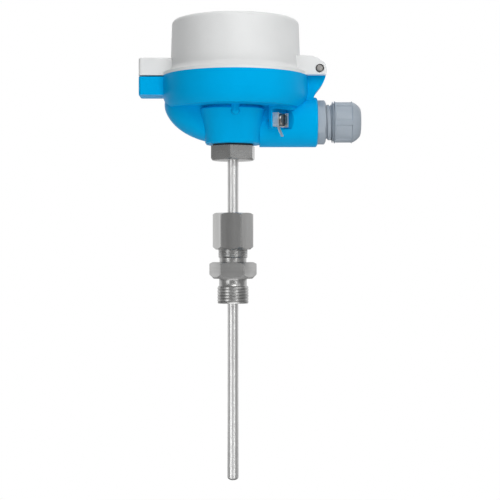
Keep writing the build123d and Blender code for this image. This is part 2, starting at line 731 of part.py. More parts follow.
# Ceramic terminal block with two notches for the fixing screws and four seats for the terminals.
notch_r = mount_head_r + 1.3
terminal_block = rod(block_r, plate_z1, block_z1)
terminal_block = chamfer(terminal_block.edges().group_by(Axis.Z)[-1], 0.8)
terminal_block -= rod(block_hole_r, plate_z1 - 1, block_z1 + 1)
for way in (-1, 1):
    terminal_block -= rod(notch_r, plate_z1 - 1, block_z1 + 1, 0, way * post_y)
    terminal_block -= block(-notch_r, notch_r, way * post_y, way * (block_r + 5), plate_z1 - 1, block_z1 + 1)
seat_z = block_z1 - terminal_sink
seat_x = terminal_half_x + 0.2
seat_y = terminal_half_y + 0.2
terminal_screw_r = 1.3
terminal_screw_deep = 3.4
for x, y in terminal_spots:
    terminal_block -= block(x - seat_x, x + seat_x, y - seat_y, y + seat_y, seat_z, block_z1 + 1)
    terminal_block -= rod(terminal_screw_r + 0.3, seat_z - terminal_screw_deep - 0.6, block_z1, x, y)
write(terminal_block, "terminal_block")

# Brass terminals with a cross hole for the wire, and their slotted screws.
terminals = []
terminal_screws = []
lead_end_z = clamp_top_z - 1.6
for x, y in terminal_spots:
    terminal = block(
        x - terminal_half_x, x + terminal_half_x, y - terminal_half_y, y + terminal_half_y, seat_z, clamp_top_z
    )
    terminal -= Pos(0, y, 0) * rod_x(lead_r + 0.2, x - 5, x + 5, lead_end_z)
    terminal -= rod(terminal_screw_r + fixed_gap, seat_z - 1, clamp_top_z + 1, x, y)
    terminals.append(terminal)
    screw = rod(terminal_screw_r, seat_z - terminal_screw_deep, clamp_top_z, x, y)
    screw += rod(2.5, clamp_top_z, clamp_top_z + 1.8, x, y)
    screw -= block(x - 3, x + 3, y - 0.35, y + 0.35, clamp_top_z + 0.9, clamp_top_z + 3)
    terminal_screws.append(screw)
write_set(terminals, "terminal_clamps")
write_set(terminal_screws, "terminal_screws")

# Four leads from the sheath to the terminals.
leads = []
for x, y in terminal_spots:
    way_x = math.copysign(1, x)
    way_y = math.copysign(1, y)
    start = (way_x, way_y, lead_z0)
    route = Spline(
        start,
        (way_x * 1.4, way_y * 1.6, plate_z1 + 3.5),
        (way_x * 2.6, way_y * 3.2, block_z1 + 0.2),
        (way_x * 5.4, y, lead_end_z),
        (x - way_x * (terminal_half_x - 0.8), y, lead_end_z),
        tangents=((0, 0, 1), (way_x, 0, 0)),
    )
    leads.append(sweep(Plane(origin=start, z_dir=(0, 0, 1)) * Circle(lead_r), route))
write_set(leads[:2], "leads_red")
write_set(leads[2:], "leads_white")

# Fixing screws of the insert and the springs under their heads.
fixings = []
springs = []
spring_pitch = (spring_room - 2 * spring_wire_r - turning_gap) / spring_turns
for way in (-1, 1):
    shank = rod(mount_screw_r, plate_z0 - 5.0, mount_head_z + 0.5, 0, way * post_y)
    head = rod(mount_head_r, mount_head_z, mount_head_z + 2.6, 0, way * post_y)
    head = chamfer(head.edges().group_by(Axis.Z)[-1], 0.5)
    head -= block(-5, 5, way * post_y - 0.5, way * post_y + 0.5, mount_head_z + 1.3, mount_head_z + 4)
    fixings.append(shank + head)
    coil = Helix(spring_pitch, spring_pitch * spring_turns, spring_r)
    spring = sweep(Plane(origin=coil @ 0, z_dir=coil % 0) * Circle(spring_wire_r), coil, is_frenet=True)
    springs.append(Pos(0, way * post_y, plate_z1 + spring_wire_r + fixed_gap) * spring)
write_set(fixings, "mounting_screws")
write_set(springs, "insert_springs")

# Inner earth screw and its plate.
earth_plate_z = floor_z + post_high
inner_earth = rod(mount_screw_r, floor_z - 2.0, earth_plate_z + 1.2, earth_x, earth_y)
inner_earth += rod(3.6, earth_plate_z + 1.0, earth_plate_z + 3.2, earth_x, earth_y)
slot_z = earth_plate_z + 2.1
inner_earth -= block(earth_x - 5, earth_x + 5, earth_y - 0.5, earth_y + 0.5, slot_z, slot_z + 2)
write(inner_earth, "inner_earth_screw")
earth_plate = rod(post_r - 0.1, earth_plate_z, earth_plate_z + 0.95, earth_x, earth_y)
earth_plate -= rod(mount_screw_r + 0.2, floor_z, earth_plate_z + 2, earth_x, earth_y)
write(earth_plate, "inner_earth_washer")
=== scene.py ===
import math

import bmesh
import bpy
from mathutils import Matrix, Vector


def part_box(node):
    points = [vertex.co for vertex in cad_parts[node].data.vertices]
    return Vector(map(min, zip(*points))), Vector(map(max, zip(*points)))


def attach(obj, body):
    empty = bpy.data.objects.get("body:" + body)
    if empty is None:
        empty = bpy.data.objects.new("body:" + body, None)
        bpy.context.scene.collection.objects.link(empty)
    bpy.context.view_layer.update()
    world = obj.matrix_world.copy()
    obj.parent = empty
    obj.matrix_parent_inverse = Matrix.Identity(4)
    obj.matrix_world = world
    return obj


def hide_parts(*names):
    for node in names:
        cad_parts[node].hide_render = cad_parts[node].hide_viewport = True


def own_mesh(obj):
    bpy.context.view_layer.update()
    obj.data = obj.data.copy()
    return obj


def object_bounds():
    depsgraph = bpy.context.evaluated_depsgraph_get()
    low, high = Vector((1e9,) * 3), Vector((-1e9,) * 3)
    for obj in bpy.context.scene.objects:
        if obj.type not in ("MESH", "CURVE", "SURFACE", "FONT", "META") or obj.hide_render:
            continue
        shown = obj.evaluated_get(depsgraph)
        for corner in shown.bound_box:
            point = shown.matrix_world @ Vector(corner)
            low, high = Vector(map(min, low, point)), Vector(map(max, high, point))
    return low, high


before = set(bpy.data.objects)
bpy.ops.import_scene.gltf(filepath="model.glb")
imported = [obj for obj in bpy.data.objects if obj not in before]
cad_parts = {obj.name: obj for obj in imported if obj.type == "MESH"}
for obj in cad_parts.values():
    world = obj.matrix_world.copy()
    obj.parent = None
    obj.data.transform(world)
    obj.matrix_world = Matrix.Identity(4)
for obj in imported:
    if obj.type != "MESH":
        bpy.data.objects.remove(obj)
cad_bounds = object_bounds()
scene = bpy.context.scene
scene.view_settings.view_transform = "Standard"

# Camera. The photograph was taken level with the middle of the stem from about 0.7 m,
# with a long lens, so the gland side is seen square on and neither end is tilted.
camera_distance = 0.700
camera_right = 0.00908
camera_height = 0.02384
camera_data = bpy.data.cameras.new("camera")
camera_data.sensor_width = 36.0
camera_data.lens = 94.4
camera = bpy.data.objects.new("camera", camera_data)
camera.location = (camera_right, -camera_distance, camera_height)
camera.rotation_euler = (math.radians(90), 0, 0)
scene.collection.objects.link(camera)
scene.camera = camera


# Lamps. A soft lamp hangs close before the probe, above it and a little to the right, with weaker ones
# below, overhead and on the right. Two upright strips draw the bright lines down the round steel.
def add_lamp(name, place, aim, width, height, power):
    """A soft rectangular lamp that shines from its place towards its aim."""
    lamp_data = bpy.data.lights.new(name, "AREA")
    lamp_data.shape = "RECTANGLE"
    lamp_data.size = width
    lamp_data.size_y = height
    lamp_data.energy = power
    lamp = bpy.data.objects.new(name, lamp_data)
    lamp.location = place
    lamp.rotation_euler = (Vector(aim) - Vector(place)).to_track_quat("-Z", "Y").to_euler()
    scene.collection.objects.link(lamp)


add_lamp("front_lamp", (0.15, -0.60, 0.44), (0, 0, 0.10), width=0.40, height=0.40, power=2.10)
add_lamp("low_lamp", (0.05, -0.36, -0.42), (0, 0, 0.05), width=0.6, height=0.4, power=1.15)
add_lamp("right_lamp", (0.95, -0.75, 0.55), (0, 0, 0.08), width=0.6, height=0.6, power=1.0)
add_lamp("left_strip", (-0.67, -0.74, -0.13), (0, 0, -0.10), width=0.36, height=0.55, power=1.2)
add_lamp("right_strip", (0.48, -0.88, -0.13), (0, 0, -0.10), width=0.10, height=0.55, power=0.65)
add_lamp("top_lamp", (0.0, -0.1, 1.2), (0, 0, 0.1), width=0.9, height=0.9, power=4.4)

# Room. The camera sees plain white behind the probe, and so do reflections that look away from it.
# Behind the camera the reflected room is darker, and the room's own light is weaker on the left.
left_light = 0.08
right_light = 0.40
dark_until = 0.17
white_from = 0.49
behind_camera = 0.33
world = bpy.data.worlds.new("studio")
world.use_nodes = True
scene.world = world
world_tree = world.node_tree
world_tree.nodes.clear()
world_out = world_tree.nodes.new("ShaderNodeOutputWorld")
room_light = world_tree.nodes.new("ShaderNodeBackground")
room_light.inputs["Color"].default_value = (1.0, 1.0, 1.0, 1.0)
seen_white = world_tree.nodes.new("ShaderNodeBackground")
seen_white.inputs["Strength"].default_value = 1.0
rays = world_tree.nodes.new("ShaderNodeLightPath")
direction = world_tree.nodes.new("ShaderNodeTexCoord")
split = world_tree.nodes.new("ShaderNodeSeparateXYZ")
side_share = world_tree.nodes.new("ShaderNodeMapRange")
side_share.inputs["From Min"].default_value = -1.0
side_share.inputs["To Min"].default_value = left_light
side_share.inputs["To Max"].default_value = right_light
front_share = world_tree.nodes.new("ShaderNodeMapRange")
front_share.interpolation_type = "SMOOTHSTEP"
front_share.inputs["From Min"].default_value = dark_until
front_share.inputs["From Max"].default_value = white_from
front_share.inputs["To Min"].default_value = behind_camera
front_share.inputs["To Max"].default_value = 1.0
camera_or_front = world_tree.nodes.new("ShaderNodeMath")
camera_or_front.operation = "MAXIMUM"
direct_rays = world_tree.nodes.new("ShaderNodeMath")
direct_rays.operation = "MAXIMUM"
seen_rays = world_tree.nodes.new("ShaderNodeMath")
seen_rays.operation = "MAXIMUM"
world_mix = world_tree.nodes.new("ShaderNodeMixShader")
world_tree.links.new(direction.outputs["Generated"], split.inputs[0])
world_tree.links.new(split.outputs["X"], side_share.inputs["Value"])
world_tree.links.new(side_share.outputs["Result"], room_light.inputs["Strength"])
world_tree.links.new(split.outputs["Y"], front_share.inputs["Value"])
world_tree.links.new(rays.outputs["Is Camera Ray"], camera_or_front.inputs[0])
world_tree.links.new(front_share.outputs["Result"], camera_or_front.inputs[1])
world_tree.links.new(camera_or_front.outputs[0], seen_white.inputs["Color"])
world_tree.links.new(rays.outputs["Is Camera Ray"], direct_rays.inputs[0])
world_tree.links.new(rays.outputs["Is Glossy Ray"], direct_rays.inputs[1])
world_tree.links.new(direct_rays.outputs[0], seen_rays.inputs[0])
world_tree.links.new(rays.outputs["Is Transmission Ray"], seen_rays.inputs[1])
world_tree.links.new(seen_rays.outputs[0], world_mix.inputs["Fac"])
world_tree.links.new(room_light.outputs[0], world_mix.inputs[1])
world_tree.links.new(seen_white.outputs[0], world_mix.inputs[2])
world_tree.links.new(world_mix.outputs[0], world_out.inputs["Surface"])

# Floor. A matt white board lies well below the probe, so that no shadow falls in the picture.
# To the camera it fades to plain white towards its edge, so that no horizon shows.
floor_drop = 0.45
floor_radius = 3.0
fade_start = 0.35 * floor_radius
fade_end = 0.8 * floor_radius
floor_build = bmesh.new()
bmesh.ops.create_circle(floor_build, cap_ends=True, segments=96, radius=floor_radius)
bmesh.ops.translate(floor_build, verts=floor_build.verts, vec=(0, 0, cad_bounds[0][2] - floor_drop))
floor_mesh = bpy.data.meshes.new("floor")
floor_build.to_mesh(floor_mesh)
floor_build.free()
floor = bpy.data.objects.new("floor", floor_mesh)
scene.collection.objects.link(floor)
floor_material = bpy.data.materials.new("floor_white")
floor_material.use_nodes = True
floor_tree = floor_material.node_tree
floor_shader = floor_tree.nodes["Principled BSDF"]
floor_shader.inputs["Base Color"].default_value = (0.9, 0.9, 0.9, 1.0)
floor_shader.inputs["Roughness"].default_value = 0.9
floor_glow = floor_tree.nodes.new("ShaderNodeEmission")
floor_rays = floor_tree.nodes.new("ShaderNodeLightPath")
floor_place = floor_tree.nodes.new("ShaderNodeTexCoord")
floor_reach = floor_tree.nodes.new("ShaderNodeVectorMath")
floor_reach.operation = "LENGTH"
floor_fade = floor_tree.nodes.new("ShaderNodeMapRange")
floor_fade.inputs["From Min"].default_value = fade_start
floor_fade.inputs["From Max"].default_value = fade_end
floor_share = floor_tree.nodes.new("ShaderNodeMath")
floor_share.operation = "MULTIPLY"
floor_mix = floor_tree.nodes.new("ShaderNodeMixShader")
floor_tree.links.new(floor_place.outputs["Object"], floor_reach.inputs[0])
floor_tree.links.new(floor_reach.outputs["Value"], floor_fade.inputs["Value"])
floor_tree.links.new(floor_fade.outputs["Result"], floor_share.inputs[0])
floor_tree.links.new(floor_rays.outputs["Is Camera Ray"], floor_share.inputs[1])
floor_tree.links.new(floor_share.outputs[0], floor_mix.inputs["Fac"])
floor_tree.links.new(floor_shader.outputs[0], floor_mix.inputs[1])
floor_tree.links.new(floor_glow.outputs[0], floor_mix.inputs[2])
floor_tree.links.new(floor_mix.outputs[0], floor_tree.nodes["Material Output"].inputs["Surface"])
floor_mesh.materials.append(floor_material)


# Fitting body. It is turned from stainless hexagon bar: a process thread below, a hexagon for the spanner,
# and a finer thread above that the compression nut runs on.
def textured(name, dark, light, roughness, metallic=0.0, patch=90.0, grain=2500.0, bump=0.00002, along=None):
    """A material whose colour and gloss vary in patches, with a fine bump.
    along="Z" draws the grain out along Z, and "turned" lays it in rings round Z."""
    material = bpy.data.materials.new(name)
    material.use_nodes = True
    tree = material.node_tree
    shader = tree.nodes["Principled BSDF"]
    shader.inputs["Metallic"].default_value = metallic
    place = tree.nodes.new("ShaderNodeTexCoord")
    vector = place.outputs["Object"]
    if along == "turned":
        apart = tree.nodes.new("ShaderNodeSeparateXYZ")
        flat = tree.nodes.new("ShaderNodeCombineXYZ")
        reach = tree.nodes.new("ShaderNodeVectorMath")
        reach.operation = "LENGTH"
        ring = tree.nodes.new("ShaderNodeCombineXYZ")
        tree.links.new(vector, apart.inputs[0])
        tree.links.new(apart.outputs["X"], flat.inputs["X"])
        tree.links.new(apart.outputs["Y"], flat.inputs["Y"])
        tree.links.new(flat.outputs[0], reach.inputs[0])
        tree.links.new(reach.outputs["Value"], ring.inputs["X"])
        tree.links.new(apart.outputs["Z"], ring.inputs["Z"])
        vector = ring.outputs[0]
    grain_stretch = 0.04 if along == "Z" else 1.0
    mapping = tree.nodes.new("ShaderNodeMapping")
    mapping.inputs["Scale"].default_value = (1.0, 1.0, grain_stretch)
    tree.links.new(vector, mapping.inputs["Vector"])
    patches = tree.nodes.new("ShaderNodeTexNoise")
    patches.inputs["Scale"].default_value = patch
    patches.inputs["Detail"].default_value = 4.0
    tree.links.new(mapping.outputs[0], patches.inputs["Vector"])
    colour = tree.nodes.new("ShaderNodeMix")
    colour.data_type = "RGBA"
    colour.inputs["A"].default_value = (*dark, 1.0)
    colour.inputs["B"].default_value = (*light, 1.0)
    spread = tree.nodes.new("ShaderNodeMapRange")
    spread.inputs["From Min"].default_value = 0.35
    spread.inputs["From Max"].default_value = 0.65
    tree.links.new(patches.outputs["Fac"], spread.inputs["Value"])
    tree.links.new(spread.outputs["Result"], colour.inputs["Factor"])
    tree.links.new(colour.outputs["Result"], shader.inputs["Base Color"])
    fine = tree.nodes.new("ShaderNodeTexNoise")
    fine.inputs["Scale"].default_value = grain
    fine.inputs["Detail"].default_value = 3.0
    tree.links.new(mapping.outputs[0], fine.inputs["Vector"])
    gloss = tree.nodes.new("ShaderNodeMapRange")
    gloss.inputs["To Min"].default_value = roughness[0]
    gloss.inputs["To Max"].default_value = roughness[1]
    tree.links.new(fine.outputs["Fac"], gloss.inputs["Value"])
    tree.links.new(gloss.outputs["Result"], shader.inputs["Roughness"])
    relief = tree.nodes.new("ShaderNodeBump")
    relief.inputs["Strength"].default_value = 1.0
    relief.inputs["Distance"].default_value = bump
    tree.links.new(fine.outputs["Fac"], relief.inputs["Height"])
    tree.links.new(relief.outputs["Normal"], shader.inputs["Normal"])
    return material


def spun(outline, steps=96):
    """An outline of (radius, height) pairs turned once round Z, closed unless it starts on the axis."""
    build = bmesh.new()
    corners = [build.verts.new((radius, 0, height)) for radius, height in outline]
    following = corners[1:] if outline[0][0] == 0 else corners[1:] + corners[:1]
    sides = [build.edges.new(pair) for pair in zip(corners, following)]
    bmesh.ops.spin(
        build,
        geom=corners + sides,
        cent=(0, 0, 0),
        axis=(0, 0, 1),
        angle=2 * math.pi,
        steps=steps,
        use_merge=True,
    )
    return build


def thread(root, crest, pitch, low, high, bevel, crest_share, lift=0.0):
    """A right-hand helical ridge round Z, cut flat at both ends and by the bevel of its shank.
    crest_share is the flat part of a turn, and lift moves the turns up."""
    build = bmesh.new()
    steps = 60
    ridge_share = 0.98
    turns = math.ceil((high - low) / pitch) + 2
    start = low + lift - 2 * pitch
    flank = (ridge_share - crest_share) / 2 * pitch
    ridge = [
        (root, start),
        (crest, start + flank),
        (crest, start + ridge_share * pitch - flank),
        (root, start + ridge_share * pitch),
    ]
    corners = [build.verts.new((radius, 0, height)) for radius, height in ridge]
    sides = [build.edges.new(pair) for pair in zip(corners, corners[1:] + corners[:1])]
    bmesh.ops.spin(
        build,
        geom=corners + sides,
        cent=(0, 0, 0),
        axis=(0, 0, 1),
        dvec=(0, 0, pitch / steps),
        angle=2 * math.pi * turns,
        steps=steps * turns,
    )
    for end, way in ((low, -1), (high, 1)):
        everything = build.verts[:] + build.edges[:] + build.faces[:]
        bmesh.ops.bisect_plane(
            build, geom=everything, plane_co=(0, 0, end), plane_no=(0, 0, way), clear_outer=True
        )
    bmesh.ops.holes_fill(build, edges=[edge for edge in build.edges if edge.is_boundary])
    for corner in build.verts:
        inset = min(corner.co.z - low, high - corner.co.z)
        limit = crest - max(0.0, bevel - inset)
        radius = math.hypot(corner.co.x, corner.co.y)
        if radius > limit:
            corner.co.xy = corner.co.xy * (limit / radius)
    return build


def hexagon(across, low, high, turn, cone_ends, corner_limit=None):
    """A hexagon bar with one corner turned from -Y towards +X. Each of cone_ends gives the height of an
    end, the way it faces, the radius that a cone leaves there and its slope. corner_limit is the radius
    that the corners are turned down to."""
    build = bmesh.new()
    corner_reach = across / math.sqrt(3)
    corner_round = 0.00022
    long = high - low
    middle = (low + high) / 2
    bmesh.ops.create_cone(
        build, cap_ends=True, segments=6, radius1=corner_reach, radius2=corner_reach, depth=long
    )
    turned = Matrix.Rotation(math.radians(turn), 3, "Z")
    bmesh.ops.rotate(build, verts=build.verts, cent=(0, 0, 0), matrix=turned)
    bmesh.ops.translate(build, verts=build.verts, vec=(0, 0, middle))
    uprights = [edge for edge in build.edges if abs(edge.verts[0].co.z - edge.verts[1].co.z) > 0.5 * long]
    bmesh.ops.bevel(
        build, geom=uprights, offset=corner_round, segments=3, profile=0.5, affect="EDGES", material=-1
    )
    cuts = [(end, way * math.cos(math.radians(slope)), reach) for end, way, reach, slope in cone_ends]
    if corner_limit:
        cuts.append((middle, 0.0, corner_limit))
    planes = 90
    for height, upward, reach in cuts:
        for step in range(planes):
            angle = 2 * math.pi * step / planes
            out = Vector((math.cos(angle), math.sin(angle), 0))
            point = out * reach + Vector((0, 0, height))
            normal = out * math.sqrt(1 - upward**2) + Vector((0, 0, upward))
            everything = build.verts[:] + build.edges[:] + build.faces[:]
            cut = bmesh.ops.bisect_plane(
                build, geom=everything, plane_co=point, plane_no=normal, clear_outer=True
            )
            open_edges = [item for item in cut["geom_cut"] if isinstance(item, bmesh.types.BMEdge)]
            if len(open_edges) > 2:
                bmesh.ops.contextual_create(build, geom=open_edges)
    return build


def open_bore(build, low, high, low_steps, high_steps):
    """Opens a round hole through a closed bar. Each end face is inset by its (thickness, depth) steps,
    and the holes left there are joined."""
    same_height = 1e-6
    square_on = 0.999
    bmesh.ops.recalc_face_normals(build, faces=build.faces)
    loops = []
    for height, way, steps in ((low, -1, low_steps), (high, 1, high_steps)):
        level = [face for face in build.faces if abs(face.calc_center_median().z - height) < same_height]
        facing = [face for face in level if face.normal.z * way > square_on]
        end = max(facing, key=lambda face: face.calc_area())
        for thickness, depth in steps:
            bmesh.ops.inset_individual(build, faces=[end], thickness=thickness, depth=depth)
        loops += end.edges[:]
        bmesh.ops.delete(build, geom=[end], context="FACES_ONLY")
    bmesh.ops.bridge_loops(build, edges=loops)


def finished(name, builds, material, body, nodes, place=None, soft_angle=28):
    """One piece from closed shells, smooth except at its real edges, that stands for the CAD nodes named."""
    merge_distance = 1e-7
    whole = bmesh.new()
    for build in builds:
        shell = bpy.data.meshes.new("shell")
        bmesh.ops.remove_doubles(build, verts=build.verts, dist=merge_distance)
        bmesh.ops.recalc_face_normals(build, faces=build.faces)
        build.to_mesh(shell)
        build.free()
        whole.from_mesh(shell)
        bpy.data.meshes.remove(shell)
    if place:
        bmesh.ops.transform(whole, matrix=place, verts=whole.verts)
    mesh = bpy.data.meshes.new(name)
    whole.to_mesh(mesh)
    whole.free()
    for face in mesh.polygons:
        face.use_smooth = True
    mesh.set_sharp_from_angle(angle=math.radians(soft_angle))
    mesh.materials.append(material)
    piece = bpy.data.objects.new(name, mesh)
    scene.collection.objects.link(piece)
    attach(piece, body)
    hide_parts(*nodes)
    return piece


fitting_low, fitting_high = (corner[2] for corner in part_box("fitting_body"))
fitting_bore = 0.00315
process_crest = 0.00833
process_root = process_crest - 0.0004
process_pitch = 0.0016
process_high = -fitting_low
relief_radius = 0.0074
lower_hex_low = process_high + 0.004
lower_hex_high = lower_hex_low + 0.0088
groove_radius = 0.0072
upper_low = lower_hex_high + 0.0024
upper_crest = 0.00785
upper_root = upper_crest - 0.00022
upper_pitch = 0.001
seat_mouth = 0.0056
seat_deep = 0.0052
fitting_core = spun(
    [
        (fitting_bore, fitting_low),
        (process_root - 0.0001, fitting_low),
        (process_root, fitting_low + 0.0002),
        (process_root, process_high - 0.0003),
        (relief_radius + 0.0001, process_high + 0.0002),
        (relief_radius, process_high + 0.0004),
        (relief_radius, lower_hex_low - 0.0005),
        (relief_radius + 0.0005, lower_hex_low + 0.0006),
        (groove_radius, lower_hex_high - 0.0006),
        (groove_radius, upper_low - 0.0002),
        (upper_root, upper_low + 0.0002),
        (upper_root, fitting_high - 0.0003),
        (upper_root - 0.0003, fitting_high),
        (seat_mouth, fitting_high),
        (fitting_bore, fitting_high - seat_deep),
    ]
)
ridge_sink = 0.00005
process_ridge = thread(
    root=process_root - ridge_sink,
    crest=process_crest,
    pitch=process_pitch,
    low=fitting_low,
    high=process_high,
    bevel=0.0004,
    crest_share=0.52,
)
upper_ridge = thread(
    root=upper_root - ridge_sink,
    crest=upper_crest,
    pitch=upper_pitch,
    low=upper_low,
    high=fitting_high,
    bevel=0.0003,
    crest_share=0.35,
)
lower_hex_across = 0.022
lower_hex_foot = 0.0104
lower_hex_top = 0.0110
lower_hex_bore = 0.0050
lower_hex_turn = 28.5
lower_hex_ends = ((lower_hex_low, -1, lower_hex_foot, 45), (lower_hex_high, 1, lower_hex_top, 30))
lower_hex = hexagon(lower_hex_across, lower_hex_low, lower_hex_high, lower_hex_turn, lower_hex_ends)
open_bore(
    lower_hex,
    lower_hex_low,
    lower_hex_high,
    low_steps=[(lower_hex_foot - lower_hex_bore, 0.0)],
    high_steps=[(lower_hex_top - lower_hex_bore, 0.0)],
)
fitting_steel = textured(
    "fitting_steel",
    dark=(0.42, 0.42, 0.415),
    light=(0.53, 0.53, 0.525),
    roughness=(0.25, 0.36),
    metallic=1.0,
    patch=260.0,
    grain=5000.0,
    along="turned",
)
finished(
    "fitting_body_threads",
    [fitting_core, process_ridge, upper_ridge, lower_hex],
    fitting_steel,
    body="process_fitting",
    nodes=["fitting_body"],
)


# Ferrule. A moulded white plastic double cone, hidden inside the fitting. The nut squeezes it onto
# the stem, and because it is plastic the stem can slide again when the nut is loosened.
def dress(name, material):
    """Gives a solid that stays as it is its finished surface."""
    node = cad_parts[name]
    node.data.materials.clear()
    node.data.materials.append(material)
    for face in node.data.polygons:
        face.material_index = 0


ferrule_plastic = textured(
    "ferrule_plastic",
    dark=(0.70, 0.69, 0.65),
    light=(0.78, 0.77, 0.74),
    roughness=(0.35, 0.5),
    patch=300.0,
)
dress("fitting_ferrule", ferrule_plastic)

# Compression nut. A long hexagon nut turned from stainless bar, with conical spanner ends,
# a hole above that clears the stem and a thread inside that runs on the fitting body.
nut_low, nut_high = (corner[2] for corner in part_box("fitting_nut"))
nut_across = 0.019
nut_turn = 24.0
nut_foot = nut_across / 2 - 0.0003
nut_top = nut_across / 2
nut_ends = ((nut_low, -1, nut_foot, 40), (nut_high, 1, nut_top, 30))
nut_form = hexagon(nut_across, nut_low, nut_high, nut_turn, nut_ends)
nut_hole = 0.00325
hole_bevel = 0.0004
nut_thread_bore = 0.00795
mouth_bevel = 0.0007
thread_taper = 0.0002
thread_deep = 0.0110
cone_narrowing = 0.0042
cone_deep = 0.0030
open_bore(
    nut_form,
    nut_low,
    nut_high,
    low_steps=[
        (nut_foot - nut_thread_bore - mouth_bevel, 0.0),
        (mouth_bevel, -mouth_bevel),
        (thread_taper, -thread_deep),
        (cone_narrowing, -cone_deep),
    ],
    high_steps=[(nut_top - nut_hole - hole_bevel, 0.0), (hole_bevel, -hole_bevel)],
)
nut_steel = textured(
    "nut_steel",
    dark=(0.41, 0.41, 0.405),
    light=(0.54, 0.54, 0.535),
    roughness=(0.18, 0.30),
    metallic=1.0,
    patch=120.0,
    grain=3000.0,
    bump=0.00003,
    along="Z",
)
finished(
    "fitting_nut_form",
    [nut_form],
    nut_steel,
    body="fitting_nut",
    nodes=["fitting_nut"],
)

# Stem tube. Seamless 6 mm stainless tube, drawn and lightly polished, so fine marks run along it.
# A shallow domed cap is welded into its end, a little narrower than the tube, and its colour is painted
# darker as painted shade.
stem_low, stem_high = (corner[2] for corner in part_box("stem_tube"))
stem_radius = 0.0030
stem_bore = 0.0020
stem_floor = stem_low + 0.0030
stem_edge = 0.0001
cap_width = 0.0027
cap_height = 0.0013
cap_steps = 10
cap_angles = [math.radians(90 / cap_steps * step) for step in range(cap_steps + 1)]
cap_line = [(cap_width * math.sin(turn), stem_low + cap_height * (1 - math.cos(turn))) for turn in cap_angles]
stem_line = cap_line + [
    (stem_radius - stem_edge, stem_low + cap_height),
    (stem_radius, stem_low + cap_height + stem_edge),
    (stem_radius, stem_high),
    (stem_bore, stem_high),
    (stem_bore, stem_floor),
    (0, stem_floor),
]
# Painted light: the tube's steel is painted much lighter than the fitting's steel, standing in for the light
# it gathers all round.
stem_steel = textured(
    "stem_steel",
    dark=(0.78, 0.78, 0.775),
    light=(0.90, 0.90, 0.895),
    roughness=(0.30, 0.40),
    metallic=1.0,
    patch=500.0,
    grain=6000.0,
    along="Z",
)
# Painted shade: below this band the domed cap's colour is scaled down to this share of the tube's colour.
cap_painted_shade = 0.35
stem_tree = stem_steel.node_tree
stem_colour = stem_tree.nodes["Principled BSDF"].inputs["Base Color"]
plain_colour = stem_colour.links[0].from_socket
stem_place = stem_tree.nodes.new("ShaderNodeTexCoord")
stem_parts = stem_tree.nodes.new("ShaderNodeSeparateXYZ")
cap_shade_band = stem_tree.nodes.new("ShaderNodeMapRange")
cap_shade_band.inputs["From Min"].default_value = stem_low + cap_height - stem_edge
cap_shade_band.inputs["From Max"].default_value = stem_low + cap_height + 2 * stem_edge
cap_shade_band.inputs["To Min"].default_value = cap_painted_shade
cap_shaded_colour = stem_tree.nodes.new("ShaderNodeVectorMath")
cap_shaded_colour.operation = "SCALE"
stem_tree.links.new(stem_place.outputs["Object"], stem_parts.inputs[0])
stem_tree.links.new(stem_parts.outputs["Z"], cap_shade_band.inputs["Value"])
stem_tree.links.new(plain_colour, cap_shaded_colour.inputs[0])
stem_tree.links.new(cap_shade_band.outputs["Result"], cap_shaded_colour.inputs["Scale"])
stem_tree.links.new(cap_shaded_colour.outputs[0], stem_colour)
finished(
    "stem_tube_capped",
    [spun(stem_line)],
    stem_steel,
    body="probe",
    nodes=["stem_tube"],
    soft_angle=35,
)

# Neck adapter. A stainless hexagon with a threaded spigot that screws into the head, and a socket below
# in which the stem is welded. A black rubber ring seals it against the head.
neck_steel = textured(
    "neck_steel",
    dark=(0.38, 0.38, 0.375),
    light=(0.47, 0.47, 0.465),
    roughness=(0.22, 0.34),
    metallic=1.0,
    patch=200.0,
    grain=4000.0,
    bump=0.00003,
    along="turned",
)
dress("neck_adapter", neck_steel)
seal_rubber = textured(
    "seal_rubber",
    dark=(0.010, 0.010, 0.011),
    light=(0.022, 0.022, 0.024),
    roughness=(0.5, 0.7),
    patch=400.0,
)
dress("neck_gasket", seal_rubber)

# Head body. A die-cast aluminium bowl with its keel, tower, cable boss and hinge bracket in one piece,
# powder coated in blue with a soft gloss that keeps the blue tint of the paint.
blue_paint = textured(
    "blue_paint",
    dark=(0.0, 0.380, 0.765),
    light=(0.0, 0.405, 0.805),
    roughness=(0.38, 0.46),
    patch=45.0,
    grain=1400.0,
    bump=0.00004,
)
blue_shader = blue_paint.node_tree.nodes["Principled BSDF"]
blue_shader.inputs["Specular IOR Level"].default_value = 0.12
blue_shader.inputs["Specular Tint"].default_value = (0.0, 0.5, 1.0, 1.0)
dress("head_body", blue_paint)

# Outer earth terminal. A clamp bent from plated steel strip, a spring washer painted black as painted shade
# and a slotted nickel plated screw painted dark as painted shade stand on the bare pad in the pocket of the
# head.
# Black steel for the snap rings of the hinge; on the earth washer the black is painted shade of the pocket.
black_steel_and_painted_shade = textured(
    "black_steel_and_painted_shade",
    dark=(0.04, 0.04, 0.04),
    light=(0.09, 0.088, 0.085),
    roughness=(0.35, 0.5),
    metallic=1.0,
    patch=800.0,
)
# Painted shade: the washer is painted black where the pocket lies in shadow.
dress("ground_washer", black_steel_and_painted_shade)
clamp_steel = textured(
    "clamp_steel",
    dark=(0.70, 0.69, 0.68),
    light=(0.86, 0.85, 0.84),
    roughness=(0.42, 0.55),
    metallic=1.0,
    patch=700.0,
    grain=6000.0,
    bump=0.00001,
)
dress("ground_clamp", clamp_steel)
# Painted shade: the screw is painted much darker than plated nickel, for the shade in the pocket.
screw_nickel_painted_shade = textured(
    "screw_nickel_painted_shade",
    dark=(0.16, 0.155, 0.15),
    light=(0.30, 0.295, 0.285),
    roughness=(0.26, 0.40),
    metallic=1.0,
    patch=900.0,
    grain=6000.0,
    bump=0.00001,
)
dress("ground_screw", screw_nickel_painted_shade)

